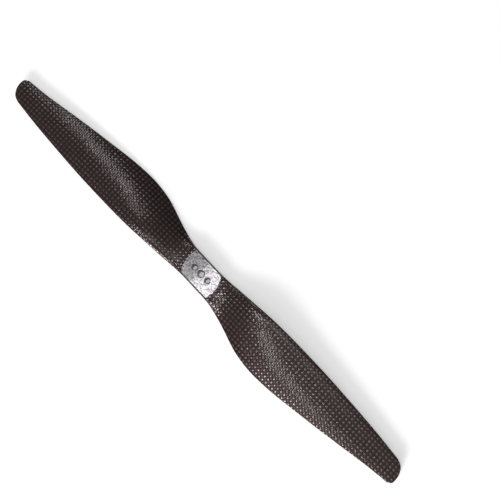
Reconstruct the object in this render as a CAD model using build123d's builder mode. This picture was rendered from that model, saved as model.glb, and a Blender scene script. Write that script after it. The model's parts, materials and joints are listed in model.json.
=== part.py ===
from build123d import *
import math
import os

os.makedirs("parts", exist_ok=True)

# A fixed-pitch two-blade propeller, moulded from carbon fibre laminate.
# +X runs out along one blade, +Z is the thrust side.
# The origin is on the bore axis, at the face that bolts to the motor.
# Seen from +Z it turns anticlockwise, so the blade on +X leads with its +Y edge.

# Whole propeller, mm
tip_radius = 177.8
pitch = 125.0  # advance for one turn, before the root is faired into the hub
leading_reach = 14.3  # widest the blade gets ahead of its straight pitch axis
trailing_reach = 20.0  # widest it gets behind that axis

# Hub
hub_half_width = 9.5
hub_thickness = 5.8
flat_length = 14.0  # the hub is level from its centre out to here
pad_half_width = 8.5
pad_end_radius = 20.0  # each end of a pad is an arc
pad_end_shift = 5.8  # its centre lies this far past the bore
pad_end_skew = 3.5  # and this far to one side
pad_proud = 0.6
pad_seat = 0.2  # how deep each pad sits in its skin
pad_bevel = 0.25

# Holes, all along Z
bore_diameter = 4.0
bolt_diameter = 3.2
bolt_spacing = 12.0

# Blade section
tip_thickness = 0.95
edge_thickness = 0.36  # flat left at each edge
section_count = 24  # sections on each side of the bore
tip_allowance = 1.6  # moulded past the tip and trimmed off
camber_share = 0.045  # of the chord
crest_share = 0.33  # of the chord, where the aerofoil is thickest
nose_pull = 0.65  # how full the aerofoil is ahead of its crest, from 0 to 1
shoulder_pull = 0.35  # and behind it
nose_height = 0.58  # control heights at the front and back, as shares of the half thickness
tail_height = 0.70
tail_pull = 0.45
slab_pull = 0.92  # the same fullness for the hub's slab, which is thickest at its middle

# Laminate and filling
skin_thickness = 0.35
front_wall = 1.0  # solid laminate ahead of the filling
front_share = 0.04  # and this much more of the chord in the blade
back_share = 0.20  # of the chord is solid laminate at the trailing edge
core_end = 150.0
strap_thickness = 0.35
strap_half_width = 5.5
strap_end = 130.0
tow_width = 2.6
block_half_length = 24.0

# Tip outline
leading_corner_length = 7.8
leading_corner_width = 11.6
trailing_corner_radius = 2.5
corner_offset = 1.2  # where the two corners meet, behind the pitch axis

# Clear of everything, for cutting shapes
spare = 30.0
overrun = 0.1  # of the chord, past either edge

# Blade stations, from the end of the level hub (0) to the tip (1).
# reach: how far the edge has gone from the hub's side (0) to its widest (1)
# twist: share of the true pitch angle
# bulk: thickness from the tip's (0) to the hub's (1)
# rise: height of the pitch axis above the hub's middle, mm
# foil: from the hub's slab (0) to the blade's aerofoil (1)
# share, leading reach, trailing reach, twist, bulk, rise, foil
stations = [
    (0.000, 0.08, 0.01, 0.00, 1.00, 0.0, 0.00),
    (0.037, 0.20, 0.07, 0.11, 0.92, 0.1, 0.25),
    (0.073, 0.30, 0.19, 0.31, 0.83, 0.5, 0.55),
    (0.116, 0.43, 0.35, 0.51, 0.71, 1.3, 0.85),
    (0.159, 0.56, 0.55, 0.68, 0.61, 2.4, 1.00),
    (0.208, 0.71, 0.78, 0.81, 0.54, 2.9, 1.00),
    (0.256, 0.83, 0.92, 0.89, 0.47, 3.0, 1.00),
    (0.330, 0.94, 1.00, 0.95, 0.40, 2.7, 1.00),
    (0.427, 0.99, 0.90, 0.99, 0.32, 2.1, 1.00),
    (0.549, 0.98, 0.62, 1.00, 0.25, 1.6, 1.00),
    (0.672, 0.85, 0.31, 1.00, 0.19, 1.3, 1.00),
    (0.794, 0.67, -0.03, 1.00, 0.12, 1.1, 1.00),
    (0.891, 0.44, -0.31, 1.00, 0.07, 1.0, 1.00),
    (0.965, 0.21, -0.46, 1.00, 0.03, 1.0, 1.00),
    (1.010, 0.08, -0.53, 1.00, 0.00, 1.0, 1.00),
]

hub_middle = pad_proud + hub_thickness / 2
hub_top = hub_middle + hub_thickness / 2


def blend(slab, aerofoil, foil):
    """A value on its way from the hub's slab to the blade's aerofoil."""
    return slab + (aerofoil - slab) * foil


class Section:
    """The blade's outline where a plane across the pitch axis cuts it."""

    def __init__(self, place, row):
        share, leading, trailing, twist, bulk, rise, foil = row
        self.place = place
        self.foil = foil
        self.lead = hub_half_width + leading * (leading_reach - hub_half_width)
        self.trail = hub_half_width + trailing * (trailing_reach - hub_half_width)
        radius = max(abs(place), flat_length)
        self.angle = twist * math.atan(pitch / (2 * math.pi * radius))
        self.thickness = tip_thickness + bulk * (hub_thickness - tip_thickness)
        self.height = hub_middle + rise
        self.chord = (self.lead + self.trail) / math.cos(self.angle)
        self.arch = 4 * camber_share * self.chord * foil

    def point(self, share, above):
        """A point at this share of the chord, this far above the chord."""
        along = share * self.chord
        y = self.lead - along * math.cos(self.angle) - above * math.sin(self.angle)
        z = self.lead * math.tan(self.angle) - along * math.sin(self.angle)
        z = self.height + z + above * math.cos(self.angle)
        if self.place < 0:
            y = -y
        return (y, z)

    def mean(self, share, touching):
        """Height over the chord of a line that touches the mean line at one share."""
        return self.arch * (touching * (1 - touching) + (1 - 2 * touching) * (share - touching))

    def side(self, front, back, wall, direction):
        """Control points of two curves from the front to the crest and on to the back."""
        blunt = edge_thickness / 2
        half = max(self.thickness / 2 - wall, blunt)
        crest = blend(0.5, crest_share, self.foil)
        nose = crest - blend(slab_pull, nose_pull, self.foil) * (crest - front)
        shoulder = crest + blend(slab_pull, shoulder_pull, self.foil) * (back - crest)
        tail = back - blend(0, tail_pull, self.foil) * (back - crest)
        nose_offset = half * blend(1, nose_height, self.foil)
        tail_offset = blunt + (half - blunt) * blend(1, tail_height, self.foil)
        offsets = [
            (front, front, blunt),
            (front, front, nose_offset),
            (nose, crest, half),
            (crest, crest, half),
            (shoulder, crest, half),
            (tail, back, tail_offset),
            (back, back, blunt),
        ]
        points = []
        for share, touching, offset in offsets:
            points.append(self.point(share, self.mean(share, touching) + direction * offset))
        if self.place < 0:
            points.reverse()
        return points


def closed_outline(upper, lower):
    """Close a section: over the top, down one edge, back underneath and up the other."""
    Bezier(*upper[:4])
    Bezier(*upper[3:])
    Line(upper[-1], lower[-1])
    Bezier(*lower[:2:-1])
    Bezier(*lower[3::-1])
    Line(lower[0], upper[0])


def column_slope(column, index):
    """How fast one column of the stations changes at a station."""
    last = len(stations) - 1
    if index == 0:
        return 0
    before = stations[index - 1]
    after = stations[min(index + 1, last)]
    return (after[column] - before[column]) / (after[0] - before[0])


def station_at(share):
    """A station anywhere along the blade, on a smooth curve through the ones above."""
    if share <= 0:
        return (0.0, 0.0, 0.0, 0.0, 1.0, 0.0, 0.0)
    index = max(i for i in range(len(stations) - 1) if stations[i][0] <= share)
    start = stations[index]
    end = stations[index + 1]
    gap = end[0] - start[0]
    t = (share - start[0]) / gap
    values = [share]
    for column in range(1, len(start)):
        leaving = column_slope(column, index) * gap
        arriving = column_slope(column, index + 1) * gap
        value = (2 * t**3 - 3 * t**2 + 1) * start[column] + (t**3 - 2 * t**2 + t) * leaving
        value = value + (3 * t**2 - 2 * t**3) * end[column] + (t**3 - t**2) * arriving
        values.append(value)
    return values


def sections():
    """Evenly spaced sections from just past one tip to just past the other."""
    step = (tip_radius + tip_allowance) / section_count
    found = []
    for index in range(-section_count, section_count + 1):
        place = index * step
        share = (abs(place) - flat_length) / (tip_radius - flat_length)
        found.append(Section(place, station_at(share)))
    return found


def hub_holes():
    """Cut the bore and the two bolt holes through the piece being made."""
    Cylinder(bore_diameter / 2, 4 * spare, mode=Mode.SUBTRACT)
    with Locations((bolt_spacing / 2, 0, 0), (-bolt_spacing / 2, 0, 0)):
        Cylinder(bolt_diameter / 2, 4 * spare, mode=Mode.SUBTRACT)


# The closed outer shape, before it is trimmed at the tips

with BuildPart() as outer_shape:
    for section in sections():
        upper = section.side(0, 1, 0, 1)
        lower = section.side(0, 1, 0, -1)
        with BuildSketch(Plane.YZ.offset(section.place)):
            with BuildLine():
                closed_outline(upper, lower)
            make_face()
    loft()

# Plan outline of both tips: a long elliptical corner in front, a small round one behind

corner_start = tip_radius - leading_corner_length
small_start = tip_radius - trailing_corner_radius
leading_side = leading_corner_width - corner_offset
trailing_side = -corner_offset - trailing_corner_radius

with BuildSketch() as tip_outline:
    with BuildLine():
        Line((0, spare), (corner_start, spare))
        Line((corner_start, spare), (corner_start, leading_side))
        EllipticalCenterArc(
            (corner_start, -corner_offset),
            leading_corner_length,
            leading_corner_width,
            start_angle=0,
            arc_size=90,
        )
        CenterArc((small_start, -corner_offset), trailing_corner_radius, 270, 90)
        Line((small_start, trailing_side), (small_start, -spare))
        Line((small_start, -spare), (0, -spare))
        Line((0, -spare), (0, spare))
    make_face()
    add(tip_outline.sketch.rotate(Axis.Z, 180))

with BuildPart() as trimmed_shape:
    add(outer_shape.part)
    extrude(tip_outline.sketch, amount=spare, both=True, mode=Mode.INTERSECT)

# The space between the skins

with BuildPart() as filling:
    for section in sections():
        front = front_wall / section.chord + front_share * section.foil
        back = 1 - front_wall / section.chord - back_share * section.foil
        upper = section.side(front, back, skin_thickness, 1)
        lower = section.side(front, back, skin_thickness, -1)
        with BuildSketch(Plane.YZ.offset(section.place)):
            with BuildLine():
                closed_outline(upper, lower)
            make_face()
    loft()
    Box(2 * core_end, 2 * spare, 4 * spare, mode=Mode.INTERSECT)

# Everything above the joint between the two moulded halves

with BuildPart() as upper_half:
    for section in sections():
        joint = []
        for share, touching in ((-overrun, -overrun), (0.5, -overrun), (1 + overrun, 1 + overrun)):
            joint.append(section.point(share, section.mean(share, touching)))
        if section.place < 0:
            joint.reverse()
        with BuildSketch(Plane.YZ.offset(section.place)):
            with BuildLine():
                Bezier(*joint)
                Polyline(
                    joint[-1],
                    (-spare, joint[-1][1]),
                    (-spare, 2 * spare),
                    (spare, 2 * spare),
                    (spare, joint[0][1]),
                    joint[0],
                )
            make_face()
    loft()

# Clamping pads with curved ends, moulded proud of the hub on both faces

with BuildSketch() as pad_outline:
    Rectangle(2 * pad_end_radius, 2 * pad_half_width)
    with Locations((-pad_end_shift, -pad_end_skew)):
        Circle(pad_end_radius, mode=Mode.INTERSECT)
    with Locations((pad_end_shift, pad_end_skew)):
        Circle(pad_end_radius, mode=Mode.INTERSECT)

with BuildPart() as upper_pad:
    with BuildSketch(Plane.XY.offset(hub_top - pad_seat)):
        add(pad_outline.sketch)
    extrude(amount=pad_proud + pad_seat)
    chamfer(upper_pad.edges().group_by(Axis.Z)[-1], pad_bevel)
    hub_holes()
upper_pad.part.label = "upper_pad"
export_step(upper_pad.part, "parts/upper_pad.step")

with BuildPart() as lower_pad:
    add(pad_outline.sketch)
    extrude(amount=pad_proud + pad_seat)
    chamfer(lower_pad.edges().group_by(Axis.Z)[0], pad_bevel)
    hub_holes()
lower_pad.part.label = "lower_pad"
export_step(lower_pad.part, "parts/lower_pad.step")

# Woven skins, one to each half of the mould

with BuildPart() as upper_skin:
    add(trimmed_shape.part)
    add(upper_half.part, mode=Mode.INTERSECT)
    add(filling.part, mode=Mode.SUBTRACT)
    add(upper_pad.part, mode=Mode.SUBTRACT)
    hub_holes()
upper_skin.part.label = "upper_skin"
export_step(upper_skin.part, "parts/upper_skin.step")

with BuildPart() as lower_skin:
    add(trimmed_shape.part)
    add(upper_half.part, mode=Mode.SUBTRACT)
    add(filling.part, mode=Mode.SUBTRACT)
    add(lower_pad.part, mode=Mode.SUBTRACT)
    hub_holes()
lower_skin.part.label = "lower_skin"
export_step(lower_skin.part, "parts/lower_skin.step")

# Flat straps of straight fibre under each skin, laid from blade to blade across the hub

with BuildPart() as upper_strap:
    add(filling.part)
    Box(2 * strap_end, 2 * strap_half_width, 4 * spare, mode=Mode.INTERSECT)
    add(filling.part.moved(Location((0, 0, -strap_thickness))), mode=Mode.SUBTRACT)
    hub_holes()
upper_strap.part.label = "upper_strap"
export_step(upper_strap.part, "parts/upper_strap.step")

with BuildPart() as lower_strap:
    add(filling.part)
    Box(2 * strap_end, 2 * strap_half_width, 4 * spare, mode=Mode.INTERSECT)
    add(filling.part.moved(Location((0, 0, strap_thickness))), mode=Mode.SUBTRACT)
    add(upper_strap.part, mode=Mode.SUBTRACT)
    hub_holes()
lower_strap.part.label = "lower_strap"
export_step(lower_strap.part, "parts/lower_strap.step")

# What is left between the straps and the skins

with BuildPart() as middle:
    add(filling.part)
    add(upper_strap.part, mode=Mode.SUBTRACT)
    add(lower_strap.part, mode=Mode.SUBTRACT)

# A strip along the leading edge of the blade on +X, in plan

with BuildSketch() as leading_band:
    places = [flat_length + row[0] * (tip_radius - flat_length) for row in stations]
    leads = [Section(place, row).lead for place, row in zip(places, stations)]
    line = [(place, lead - front_wall - tow_width) for place, lead in zip(places, leads)]
    with BuildLine():
        Spline(*line)
        Polyline(line[-1], (line[-1][0], spare), (line[0][0], spare), line[0])
    make_face()

# Everything outboard of the hub block on the +X side

with BuildPart() as blade_zone:
    with Locations((block_half_length + tip_radius / 2, 0, 0)):
        Box(tip_radius, 2 * spare, 4 * spare)

# Solid block that takes the clamping load of the motor bolts

with BuildPart() as hub_block:
    add(middle.part)
    Box(2 * block_half_length, 2 * spare, 4 * spare, mode=Mode.INTERSECT)
    hub_holes()
hub_block.part.label = "hub_block"
export_step(hub_block.part, "parts/hub_block.step")

# Foam core and leading-edge tow of the blade on +X, and their copies on the other blade

with BuildPart() as blade_core_a:
    add(middle.part)
    add(blade_zone.part, mode=Mode.INTERSECT)
    extrude(leading_band.sketch, amount=spare, both=True, mode=Mode.SUBTRACT)
blade_core_a.part.label = "blade_core_a"
export_step(blade_core_a.part, "parts/blade_core_a.step")

with BuildPart() as leading_tow_a:
    add(middle.part)
    add(blade_zone.part, mode=Mode.INTERSECT)
    extrude(leading_band.sketch, amount=spare, both=True, mode=Mode.INTERSECT)
leading_tow_a.part.label = "leading_tow_a"
export_step(leading_tow_a.part, "parts/leading_tow_a.step")

with BuildPart() as blade_core_b:
    add(blade_core_a.part.rotate(Axis.Z, 180))
blade_core_b.part.label = "blade_core_b"
export_step(blade_core_b.part, "parts/blade_core_b.step")

with BuildPart() as leading_tow_b:
    add(leading_tow_a.part.rotate(Axis.Z, 180))
leading_tow_b.part.label = "leading_tow_b"
export_step(leading_tow_b.part, "parts/leading_tow_b.step")
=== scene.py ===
import json
import math

import bpy
import numpy as np
from mathutils import Matrix, Vector


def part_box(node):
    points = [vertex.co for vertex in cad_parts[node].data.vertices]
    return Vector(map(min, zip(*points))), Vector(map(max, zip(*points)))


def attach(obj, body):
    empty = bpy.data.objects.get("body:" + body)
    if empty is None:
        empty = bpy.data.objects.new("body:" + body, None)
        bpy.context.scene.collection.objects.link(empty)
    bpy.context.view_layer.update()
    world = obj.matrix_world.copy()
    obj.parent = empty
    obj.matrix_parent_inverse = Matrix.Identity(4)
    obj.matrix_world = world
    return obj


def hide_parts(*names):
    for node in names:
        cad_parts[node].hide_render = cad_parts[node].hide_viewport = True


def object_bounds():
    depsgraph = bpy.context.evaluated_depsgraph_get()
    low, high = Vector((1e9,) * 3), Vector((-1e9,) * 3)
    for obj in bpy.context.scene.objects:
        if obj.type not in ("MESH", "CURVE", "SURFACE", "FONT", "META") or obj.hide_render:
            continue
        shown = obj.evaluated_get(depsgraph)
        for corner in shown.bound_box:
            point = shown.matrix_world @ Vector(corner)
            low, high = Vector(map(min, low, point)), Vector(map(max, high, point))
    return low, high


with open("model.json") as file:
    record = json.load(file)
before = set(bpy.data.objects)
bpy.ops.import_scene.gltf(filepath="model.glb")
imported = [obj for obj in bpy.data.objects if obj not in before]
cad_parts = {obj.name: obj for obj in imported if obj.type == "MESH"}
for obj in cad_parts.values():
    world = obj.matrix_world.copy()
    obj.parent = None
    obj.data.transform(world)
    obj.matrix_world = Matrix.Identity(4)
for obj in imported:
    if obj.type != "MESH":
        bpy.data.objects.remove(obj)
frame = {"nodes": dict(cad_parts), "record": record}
cad_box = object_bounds()

# ---- Viewpoint and studio ----
# The propeller lies on a white sheet and is seen from nearly overhead, with the hub a
# little left of the middle. A wide soft panel hangs over it, and small lamps stand round.

MM = 0.001
view_distance = 700 * MM
view_lean_x = math.radians(8.18)
view_lean_y = math.radians(-0.76)
view_turn = math.radians(46.9)
hub_across = 0.4021  # where the hub stands in the view, as shares of its width from the left
hub_down = 0.5489  # and from the top
lens_length = 78.35

hub_top = Vector((0, 0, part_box("upper_pad")[1][2]))
towards_view = Vector((math.sin(view_lean_x), math.sin(view_lean_y), 0))
towards_view.z = math.sqrt(1 - towards_view.length_squared)
along_blade = Vector((1, 0, 0)) - towards_view * towards_view.x
along_blade.normalize()
across_blade = towards_view.cross(along_blade)
view_right = along_blade * math.cos(view_turn) + across_blade * math.sin(view_turn)
view_up = across_blade * math.cos(view_turn) - along_blade * math.sin(view_turn)

view_axes = Matrix((view_right, view_up, towards_view)).transposed().to_4x4()
bpy.ops.object.camera_add(location=hub_top + towards_view * view_distance)
camera = bpy.context.object
camera.matrix_world = Matrix.Translation(camera.location) @ view_axes
camera.data.lens = lens_length
camera.data.sensor_width = 36
camera.data.shift_x = 0.5 - hub_across
camera.data.shift_y = hub_down - 0.5
camera.data.clip_start = 10 * MM
bpy.context.scene.camera = camera

lamp_height = 1.0
blade_line = (0.77, -0.64)  # the way the blades lie, right and up in the view
upright = (0, 1)


def studio_lamp(name, side, width, length, along, power, height=lamp_height):
    """A soft panel that faces the hub; side and along are right and up in the view."""
    place = view_right * side[0] + view_up * side[1]
    place = Vector((place.x, place.y, height))
    long_side = view_right * along[0] + view_up * along[1]
    back = (place - hub_top).normalized()
    across = long_side.cross(back).normalized()
    axes = Matrix((across, back.cross(across), back)).transposed().to_4x4()
    bpy.ops.object.light_add(type="AREA", location=place)
    lamp = bpy.context.object
    lamp.name = name
    lamp.data.shape = "RECTANGLE"
    lamp.data.size = width
    lamp.data.size_y = length
    lamp.data.energy = power
    lamp.matrix_world = Matrix.Translation(place) @ axes


studio_lamp("overhead_panel", (0.24, -0.17), 0.8, 0.8, blade_line, power=0.32)
studio_lamp("hub_lamp", (0.07, -0.03), 0.22, 0.22, blade_line, power=0.42)
studio_lamp("key_lamp", (-0.90, -1.80), 0.9, 0.9, upright, power=50.0, height=0.9)
studio_lamp("near_lamp", (-0.20, 0.02), 0.10, 0.10, upright, power=1.0)
studio_lamp("upper_strip", (0.13, 0.88), 0.05, 0.50, (0.28, 1), power=1.2)
studio_lamp("lower_strip", (-0.34, -0.44), 0.05, 0.50, (0.3, 0.57), power=1.3)

sky_shades = ((0.25, 0.07), (0.95, 0.26))  # how high in the sky, and how bright there

world = bpy.data.worlds.new("studio")
world.use_nodes = True
sky_nodes = world.node_tree.nodes
sky_wires = world.node_tree.links
sky_place = sky_nodes.new("ShaderNodeTexCoord")
sky_split = sky_nodes.new("ShaderNodeSeparateXYZ")
sky_ramp = sky_nodes.new("ShaderNodeValToRGB")
for stop, (height, shade) in zip(sky_ramp.color_ramp.elements, sky_shades):
    stop.position = height
    stop.color = (shade, shade, shade, 1)
sky_wires.new(sky_place.outputs["Generated"], sky_split.inputs[0])
sky_wires.new(sky_split.outputs["Z"], sky_ramp.inputs[0])
sky_wires.new(sky_ramp.outputs[0], sky_nodes["Background"].inputs["Color"])
bpy.context.scene.world = world
bpy.context.scene.view_settings.view_transform = "Standard"

sheet_width = 6.0
sheet_gap = 0.1 * MM  # left under the lower pad, so that the two faces don't flicker
sheet_white = 0.86
sheet_glow = 0.36  # keeps the shadow soft and lights the holes from below

bpy.ops.mesh.primitive_plane_add(size=sheet_width, location=(0, 0, cad_box[0][2] - sheet_gap))
floor = bpy.context.object
floor.name = "white_sheet"
sheet_finish = bpy.data.materials.new("white_sheet")
sheet_finish.use_nodes = True
sheet_shader = sheet_finish.node_tree.nodes["Principled BSDF"]
sheet_shader.inputs["Base Color"].default_value = (sheet_white, sheet_white, sheet_white, 1)
sheet_shader.inputs["Emission Color"].default_value = (1, 1, 1, 1)
sheet_shader.inputs["Emission Strength"].default_value = sheet_glow
sheet_shader.inputs["Roughness"].default_value = 0.9
floor.data.materials.append(sheet_finish)

# ---- Woven skins ----
# Two shells of 3K plain-weave carbon cloth, one from each half of the mould, laid with the
# tows across the blade at about 45 degrees and bonded along both edges under clear resin.

tow_pitch_a = 1.86 * MM
tow_pitch_b = 1.95 * MM
tow_angle_a = math.radians(46.9)
tow_angle_b = math.radians(-37.5)
print_through = 0.012 * MM  # how far the gaps between crossings sink below them
print_fade = 0.8 * MM  # the weave sinks in over this much from each edge

# Each skin is a row of rings across the blade, closer together at the tips
column_step = 0.50 * MM
tip_zone = 2 * MM
tip_columns = (0.78, 0.58, 0.41, 0.27, 0.16, 0.08, 0.04, 0.02)  # shares of the tip zone
rows_across = 104
rows_inside = 8
edge_crowding = 0.62  # draws the rows together at both edges
edge_inset = 0.01 * MM
joint_inset = 0.03 * MM  # where the height of the joint between the skins is taken
widest_side = 25 * MM
halvings = 15

# The tip is rounded over, and its two corners meet a little behind the pitch axis
tip_start = 168 * MM
tip_round = 0.40 * MM
tip_corner = 1.2 * MM

# The hub's face runs on level under the pad and over the holes, which are drilled later
hub_reach = 20 * MM
hub_inside = 5 * MM  # clear of the holes
seat_reach = 16 * MM
seat_margin = 0.1 * MM
seat_depth = 0.2 * MM
seat_catch = 0.6 * MM
skin_depth = 0.33 * MM

lattice = np.array(
    [
        [tow_pitch_a * math.cos(tow_angle_a), tow_pitch_b * math.cos(tow_angle_b)],
        [tow_pitch_a * math.sin(tow_angle_a), tow_pitch_b * math.sin(tow_angle_b)],
    ]
)
to_tows = np.linalg.inv(lattice)


def blade_columns(tip):
    """Places along the propeller, closing up at the tips."""
    straight = tip - tip_zone
    count = int(round(2 * straight / column_step))
    inner = np.linspace(-straight, straight, count + 1)
    last = tip - tip_zone * np.array(tip_columns)
    return np.concatenate((-last[::-1], inner, last))


def cast(node, x, y, way):
    """Height where a vertical line first meets a node, from above (-1) or below (+1)."""
    hit, place, normal, face = node.ray_cast((x, y, -0.1 * way), (0, 0, way))
    return place.z if hit else None


def edge_place(node, x, side):
    """Where the plan outline ends on this side, by halving."""
    inside = side * hub_inside if abs(x) < hub_reach else 0
    if abs(x) > tip_start:
        inside = -math.copysign(tip_corner, x)
    outside = side * widest_side
    for step in range(halvings):
        middle = (inside + outside) / 2
        if cast(node, x, middle, -1) is None:
            outside = middle
        else:
            inside = middle
    return inside


def weave_height(x, y):
    """1 on the crown of a crossing, 0 in the gaps between."""
    u, v = to_tows @ (x, y)
    height = math.cos(math.pi * (u - math.floor(u) - 0.5))
    return height * math.cos(math.pi * (v - math.floor(v) - 0.5))


def skin_ring(node, face, tip, level, seat_side, x):
    """One ring of a skin: its outer rows from edge to edge, then its inner rows."""
    ring = []
    low = edge_place(node, x, -1) + edge_inset
    high = edge_place(node, x, 1) - edge_inset
    joints = []
    for y in (low + joint_inset, high - joint_inset):
        under = cast(node, x, y, face)
        over = cast(node, x, y, -face)
        joints.append(under if under is not None else over)

    turn = np.linspace(0, 1, rows_across + 1)
    shares = turn - edge_crowding * np.sin(2 * np.pi * turn) / (2 * np.pi)
    for index, share in enumerate(shares):
        y = low + (high - low) * share
        z = cast(node, x, y, -face)
        if z is None and abs(x) > seat_reach:
            z = ring[-1][2]
        over_seat = abs(x) < seat_reach and abs(y) < seat_side + seat_margin
        if over_seat and (z is None or abs(z - level) < seat_catch):
            z = level
        joint = joints[0] + (joints[1] - joints[0]) * share
        if index == 0 or index == rows_across:
            z = joint
        away = max(0, min(y - low, high - y, tip - abs(x)))
        if abs(x) > tip_start and away < tip_round:
            bottom = cast(node, x, y, face)
            bottom = joint if bottom is None else bottom
            z = bottom + (z - bottom) * math.sqrt(1 - (1 - away / tip_round) ** 2)
        sink = print_through * (1 - weave_height(x, y)) * min(1, away / print_fade)
        ring.append((x, y, z - face * sink))

    for share in np.linspace(0, 1, rows_inside + 1)[1:-1]:
        y = low + (high - low) * share
        z = cast(node, x, y, face)
        if z is None and abs(x) > seat_reach:
            z = ring[-1][2]
        if z is None:
            z = level - face * skin_depth
        ring.append((x, y, z))
    return ring


def moulded_skin(name, node, face):
    """A fine closed shell in the shape of a CAD skin; face is +1 for the upper one."""
    tip = node.dimensions.x / 2
    columns = blade_columns(tip)
    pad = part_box("upper_pad" if face > 0 else "lower_pad")
    level = pad[0][2] + seat_depth if face > 0 else pad[1][2] - seat_depth
    points = []
    for x in columns:
        points.extend(skin_ring(node, face, tip, level, pad[1][1], x))

    outer = rows_across + 1
    inner = rows_inside - 1
    total = outer + inner
    ring = list(range(outer)) + [total - 1 - k for k in range(inner)]
    faces = []
    for column in range(len(columns) - 1):
        here = column * total
        after = here + total
        for a, b in zip(ring, ring[1:] + ring[:1]):
            faces.append((here + a, here + b, after + b, after + a))
    last = (len(columns) - 1) * total
    faces.append(list(ring))
    faces.append([last + k for k in reversed(ring)])

    mesh = bpy.data.meshes.new(name)
    mesh.from_pydata(points, [], faces)
    piece = bpy.data.objects.new(name, mesh)
    bpy.context.collection.objects.link(piece)
    bpy.ops.object.select_all(action="DESELECT")
    bpy.context.view_layer.objects.active = piece
    piece.select_set(True)
    bpy.ops.object.mode_set(mode="EDIT")
    bpy.ops.mesh.select_all(action="SELECT")
    bpy.ops.mesh.normals_make_consistent(inside=False)
    bpy.ops.object.mode_set(mode="OBJECT")
    bpy.ops.object.shade_smooth_by_angle(angle=math.radians(50))
    return piece


def new_finish(name):
    """An empty node material: the material, its node maker, its wire and its shader."""
    finish = bpy.data.materials.new(name)
    finish.use_nodes = True
    tree = finish.node_tree
    shader = tree.nodes["Principled BSDF"]

    def wire(source, socket, target, entry):
        tree.links.new(source.outputs[socket], target.inputs[entry])

    def add(kind, **settings):
        node = tree.nodes.new("ShaderNode" + kind)
        for key, value in settings.items():
            setattr(node, key, value)
        return node

    return finish, add, wire, shader


def arithmetic(add, wire, operation, *values):
    """A Math node; each value is a number, a node, or a node with its output's name."""
    node = add("Math", operation=operation)
    for entry, value in enumerate(values):
        if isinstance(value, (int, float)):
            node.inputs[entry].default_value = value
        elif isinstance(value, tuple):
            wire(*value, node, entry)
        else:
            wire(value, 0, node, entry)
    return node


def relief_node(add, wire, height, depth):
    """A Bump node that raises a pattern by this depth."""
    bump = add("Bump")
    bump.inputs["Strength"].default_value = 1
    bump.inputs["Distance"].default_value = depth
    wire(height, 0, bump, "Height")
    return bump


fibre_stretch = 2.0
fibres_across = 26.0
fibre_depth = 0.10
flat_share = 0.30  # how proud the first set of tows stands, as a share of the second
tow_height = 0.10 * MM
resin_height = 0.055 * MM
crown_sharpness = 1.6
# Painted highlight: the second set's tow colour is far lighter than the first's, standing in for
# the glints that set catches
tow_colour_a = (0.045, 0.034, 0.033)
painted_glint_tow_colour_b = (0.150, 0.137, 0.133)
resin_colour = (0.026, 0.012, 0.011)
tow_variation = 0.3
fibre_variation = 0.8


def around_one(add, wire, value, socket, spread):
    """Turn 0 to 1 into a factor that lies this far round 1."""
    factor = add("MapRange")
    factor.inputs["To Min"].default_value = 1 - spread / 2
    factor.inputs["To Max"].default_value = 1 + spread / 2
    wire(value, socket, factor, "Value")
    return factor


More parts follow.
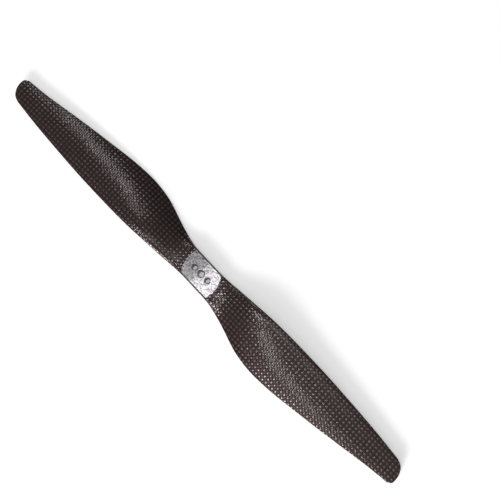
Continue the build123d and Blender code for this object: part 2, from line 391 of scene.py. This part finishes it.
def woven_carbon():
    """Plain weave under gloss resin: each crossing shows one tow, and its fibres run that way."""
    finish, add, wire, shader = new_finish("woven_carbon")
    place = add("TexCoord")
    tows = []
    for row in to_tows:
        dot = add("VectorMath", operation="DOT_PRODUCT")
        wire(place, "Object", dot, 0)
        dot.inputs[1].default_value = (row[0], row[1], 0)
        tows.append((dot, "Value"))
    cells = [arithmetic(add, wire, "FLOOR", tow) for tow in tows]
    parts = [arithmetic(add, wire, "FRACT", tow) for tow in tows]
    inside = [arithmetic(add, wire, "SUBTRACT", part, 0.5) for part in parts]
    count = arithmetic(add, wire, "ADD", cells[0], cells[1])
    on_top = arithmetic(add, wire, "FLOORED_MODULO", count, 2)
    along = add("Mix")
    across = add("Mix")
    for mix, first, second in ((along, 0, 1), (across, 1, 0)):
        wire(on_top, 0, mix, 0)
        wire(inside[first], 0, mix, 2)
        wire(inside[second], 0, mix, 3)

    # Crown of the tow, and its dip where it goes under the next one
    crown = arithmetic(add, wire, "COSINE", arithmetic(add, wire, "MULTIPLY", across, math.pi))
    dip = arithmetic(add, wire, "COSINE", arithmetic(add, wire, "MULTIPLY", along, math.pi))
    crossing = arithmetic(add, wire, "MULTIPLY", crown, dip)

    # Fibres: fine lines that run along each tow
    lines = add("CombineXYZ")
    wire(arithmetic(add, wire, "MULTIPLY", along, fibre_stretch), 0, lines, 0)
    wire(arithmetic(add, wire, "MULTIPLY", across, fibres_across), 0, lines, 1)
    wire(count, 0, lines, 2)
    fibre = add("TexNoise")
    fibre.inputs["Scale"].default_value = 1
    fibre.inputs["Detail"].default_value = 2
    wire(lines, 0, fibre, "Vector")

    # Tows of the second set stand prouder in the resin than those of the first
    proud = arithmetic(add, wire, "MULTIPLY_ADD", on_top, 1 - flat_share, flat_share)
    domes = arithmetic(add, wire, "MULTIPLY", crossing, proud)
    ridges = arithmetic(add, wire, "MULTIPLY", fibre, fibre_depth)
    relief = arithmetic(add, wire, "ADD", domes, ridges)
    wire(relief_node(add, wire, relief, tow_height), "Normal", shader, "Normal")
    wire(relief_node(add, wire, domes, resin_height), "Normal", shader, "Coat Normal")

    # Direction across the fibres of whichever tow is on top
    tangent = add("Mix", data_type="VECTOR")
    wire(on_top, 0, tangent, 0)
    tangent.inputs[4].default_value = (-math.sin(tow_angle_a), math.cos(tow_angle_a), 0)
    tangent.inputs[5].default_value = (-math.sin(tow_angle_b), math.cos(tow_angle_b), 0)
    wire(tangent, 1, shader, "Tangent")

    # Each stretch of tow is a little lighter or darker than its neighbours
    cell_place = add("CombineXYZ")
    wire(cells[0], 0, cell_place, 0)
    wire(cells[1], 0, cell_place, 1)
    chance = add("TexWhiteNoise")
    wire(cell_place, 0, chance, "Vector")
    light = around_one(add, wire, chance, "Value", tow_variation)
    grain = around_one(add, wire, fibre, 0, fibre_variation)
    # Painted highlight: the second set of tows gets the lighter colour
    shade = add("Mix", data_type="RGBA")
    wire(on_top, 0, shade, 0)
    shade.inputs[6].default_value = (*tow_colour_a, 1)
    shade.inputs[7].default_value = (*painted_glint_tow_colour_b, 1)
    streak = add("VectorMath", operation="SCALE")
    wire(shade, 2, streak, 0)
    wire(arithmetic(add, wire, "MULTIPLY", light, grain), 0, streak, "Scale")

    # The tow colour, painted lighter on the second set's crowns as a stand-in for their glints,
    # shows on the crown; towards the gaps there is dark resin
    bare = arithmetic(add, wire, "POWER", crossing, crown_sharpness)
    colour = add("Mix", data_type="RGBA")
    wire(bare, 0, colour, 0)
    colour.inputs[6].default_value = (*resin_colour, 1)
    wire(streak, 0, colour, 7)
    wire(colour, 2, shader, "Base Color")
    wire(bare, 0, shader, "Metallic")

    shader.inputs["Roughness"].default_value = 0.26
    shader.inputs["Specular IOR Level"].default_value = 0.1
    shader.inputs["Anisotropic"].default_value = 0.6
    shader.inputs["Coat Weight"].default_value = 0.45
    shader.inputs["Coat Roughness"].default_value = 0.10
    shader.inputs["Coat IOR"].default_value = 1.45
    return finish


cloth_finish = woven_carbon()
upper_cloth = moulded_skin("upper_cloth", frame["nodes"]["upper_skin"], 1)
lower_cloth = moulded_skin("lower_cloth", frame["nodes"]["lower_skin"], -1)
for piece, node in ((upper_cloth, "upper_skin"), (lower_cloth, "lower_skin")):
    piece.data.materials.append(cloth_finish)
    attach(piece, "root")
    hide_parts(node)

# The shaft's bore and the two bolt holes are drilled through both skins at once.

mounts = frame["record"]["mounts"]
bore = next(mount for mount in mounts if mount["name"] == "bore")
bolts = next(mount for mount in mounts if mount["name"] == "motor_bolts")
bore_radius = bore["dims"]["r_mm"] * MM
bolt_radius = bolts["dims"]["hole_r_mm"] * MM
bolt_place = bolts["dims"]["spacing_x_mm"] / 2 * MM
drilled = [(0, bore_radius), (-bolt_place, bolt_radius), (bolt_place, bolt_radius)]
drill_length = 40 * MM

for piece in (upper_cloth, lower_cloth):
    for place, radius in drilled:
        bpy.ops.object.select_all(action="DESELECT")
        bpy.ops.mesh.primitive_cylinder_add(
            vertices=48, radius=radius, depth=drill_length, location=(place, 0, 0)
        )
        cutter = bpy.context.object
        bpy.ops.object.transform_apply(location=True)
        bpy.ops.object.select_all(action="DESELECT")
        bpy.context.view_layer.objects.active = piece
        piece.select_set(True)
        cut = piece.modifiers.new("hole", "BOOLEAN")
        cut.operation = "DIFFERENCE"
        cut.solver = "MANIFOLD"
        cut.object = cutter
        bpy.ops.object.modifier_apply(modifier="hole")
        bpy.data.objects.remove(cutter)

# ---- Clamping pads ----
# Pads with curved ends and flat sides, moulded proud of the hub above and below. Their faces
# are left pebbled by the peel ply, so they grip the motor and glint under the resin.

pebble_size = 0.9 * MM
mottle_size = 1.2 * MM
pebble_height = 0.035 * MM
pad_dark = (0.14, 0.132, 0.138)
pad_light = (0.50, 0.48, 0.50)
# Painted sheen: the pad's colour is scaled from dull to bright along its length
painted_sheen_width = 12 * MM
painted_sheen_low = 0.55
painted_sheen_high = 1.5
# Painted shade round the drilled holes: the width of the dark ring and how dark it goes
hole_shade_width = 0.8 * MM
painted_hole_shade = 0.12


def two_shades(add, dark, light, low=0.0, high=1.0):
    """A colour ramp from a dark shade to a light one."""
    ramp = add("ValToRGB")
    for stop, place, shade in zip(ramp.color_ramp.elements, (low, high), (dark, light)):
        stop.position = place
        stop.color = (*shade, 1)
    return ramp


def pebbled_pad():
    finish, add, wire, shader = new_finish("pebbled_pad")
    place = add("TexCoord")
    pebbles = add("TexVoronoi", feature="SMOOTH_F1")
    pebbles.inputs["Scale"].default_value = 1 / pebble_size
    pebbles.inputs["Smoothness"].default_value = 0.6
    wire(place, "Object", pebbles, "Vector")
    mottle = add("TexNoise")
    mottle.inputs["Scale"].default_value = 1 / mottle_size
    mottle.inputs["Detail"].default_value = 4
    wire(place, "Object", mottle, "Vector")
    rough = arithmetic(add, wire, "ADD", pebbles, mottle)
    wire(relief_node(add, wire, rough, pebble_height), "Normal", shader, "Normal")
    ramp = two_shades(add, pad_dark, pad_light, 0.35, 0.65)
    wire(mottle, 0, ramp, 0)

    # Painted sheen: the pad's colour is brighter towards one end, where a lamp's reflection falls
    split = add("SeparateXYZ")
    wire(place, "Object", split, 0)
    painted_sheen = add("MapRange", interpolation_type="SMOOTHSTEP")
    painted_sheen.inputs["From Min"].default_value = -painted_sheen_width / 2
    painted_sheen.inputs["From Max"].default_value = painted_sheen_width / 2
    painted_sheen.inputs["To Min"].default_value = painted_sheen_low
    painted_sheen.inputs["To Max"].default_value = painted_sheen_high
    wire(split, "X", painted_sheen, "Value")

    # Painted shade: a dark ring round each drilled hole, where its edge falls in shade
    flat = add("VectorMath", operation="MULTIPLY")
    flat.inputs[1].default_value = (1, 1, 0)
    wire(place, "Object", flat, 0)
    painted_sheen_and_shade = painted_sheen
    for hole_place, radius in drilled:
        reach = add("VectorMath", operation="DISTANCE")
        reach.inputs[1].default_value = (hole_place, 0, 0)
        wire(flat, 0, reach, 0)
        hole_shade = add("MapRange", interpolation_type="SMOOTHSTEP")
        hole_shade.inputs["From Min"].default_value = radius + hole_shade_width / 2
        hole_shade.inputs["From Max"].default_value = radius + hole_shade_width
        hole_shade.inputs["To Min"].default_value = painted_hole_shade
        wire(reach, "Value", hole_shade, "Value")
        painted_sheen_and_shade = arithmetic(add, wire, "MULTIPLY", painted_sheen_and_shade, hole_shade)
    colour = add("VectorMath", operation="SCALE")
    wire(ramp, 0, colour, 0)
    wire(painted_sheen_and_shade, 0, colour, "Scale")
    wire(colour, 0, shader, "Base Color")
    shader.inputs["Metallic"].default_value = 0.85
    shader.inputs["Roughness"].default_value = 0.30
    shader.inputs["Coat Weight"].default_value = 0.5
    shader.inputs["Coat Roughness"].default_value = 0.12
    return finish


def coat_node(name, finish):
    """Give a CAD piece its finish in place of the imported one."""
    for entry in frame["nodes"][name].material_slots:
        entry.material = finish


pad_finish = pebbled_pad()
for name in ("upper_pad", "lower_pad"):
    coat_node(name, pad_finish)

# ---- Straps and leading-edge tows ----
# Straight carbon fibre with nothing woven across it, laid along the blades to carry the
# bending load. It is matt black with fine lines from blade to blade.

lines_per_metre = (60, 6000, 2500)  # along the blade, across it and through it
line_depth = 0.03 * MM
line_dark = (0.008, 0.008, 0.009)
line_light = (0.070, 0.068, 0.066)


def patterned(finish_parts, pattern, dark, light, depth, roughness):
    """Colour and roughen a finish by one pattern."""
    finish, add, wire, shader = finish_parts
    ramp = two_shades(add, dark, light)
    wire(pattern, 0, ramp, 0)
    wire(ramp, 0, shader, "Base Color")
    wire(relief_node(add, wire, pattern, depth), "Normal", shader, "Normal")
    shader.inputs["Roughness"].default_value = roughness
    return finish


def straight_carbon():
    finish, add, wire, shader = new_finish("straight_carbon")
    place = add("TexCoord")
    squeeze = add("Mapping")
    squeeze.inputs["Scale"].default_value = lines_per_metre
    wire(place, "Object", squeeze, "Vector")
    lines = add("TexNoise")
    lines.inputs["Scale"].default_value = 1
    lines.inputs["Detail"].default_value = 3
    wire(squeeze, 0, lines, "Vector")
    return patterned((finish, add, wire, shader), lines, line_dark, line_light, line_depth, 0.45)


straight_finish = straight_carbon()
for name in ("upper_strap", "lower_strap", "leading_tow_a", "leading_tow_b"):
    coat_node(name, straight_finish)

# ---- Hub block ----
# A stack of carbon plies pressed solid, so the motor's bolts can't crush the hub. The cut
# edges of the plies show as thin level bands.

band_scale = 200  # a band every 1.57 mm
band_depth = 0.02 * MM
band_dark = (0.010, 0.010, 0.011)
band_light = (0.080, 0.078, 0.074)


def pressed_plies():
    finish, add, wire, shader = new_finish("pressed_plies")
    place = add("TexCoord")
    bands = add("TexWave", wave_type="BANDS", bands_direction="Z")
    bands.inputs["Scale"].default_value = band_scale
    bands.inputs["Distortion"].default_value = 1.5
    bands.inputs["Detail Scale"].default_value = 0.4
    wire(place, "Object", bands, "Vector")
    return patterned((finish, add, wire, shader), bands, band_dark, band_light, band_depth, 0.5)


coat_node("hub_block", pressed_plies())

# ---- Blade cores ----
# Closed-cell foam between the skins of each blade, pale and matt, with fine open cells where
# it was cut to shape.

cell_size = 0.35 * MM
cell_depth = 0.05 * MM
foam_dark = (0.55, 0.49, 0.36)
foam_light = (0.83, 0.79, 0.66)


def cut_foam():
    finish, add, wire, shader = new_finish("cut_foam")
    place = add("TexCoord")
    cells = add("TexVoronoi")
    cells.inputs["Scale"].default_value = 1 / cell_size
    wire(place, "Object", cells, "Vector")
    return patterned((finish, add, wire, shader), cells, foam_dark, foam_light, cell_depth, 0.85)


foam_finish = cut_foam()
for name in ("blade_core_a", "blade_core_b"):
    coat_node(name, foam_finish)
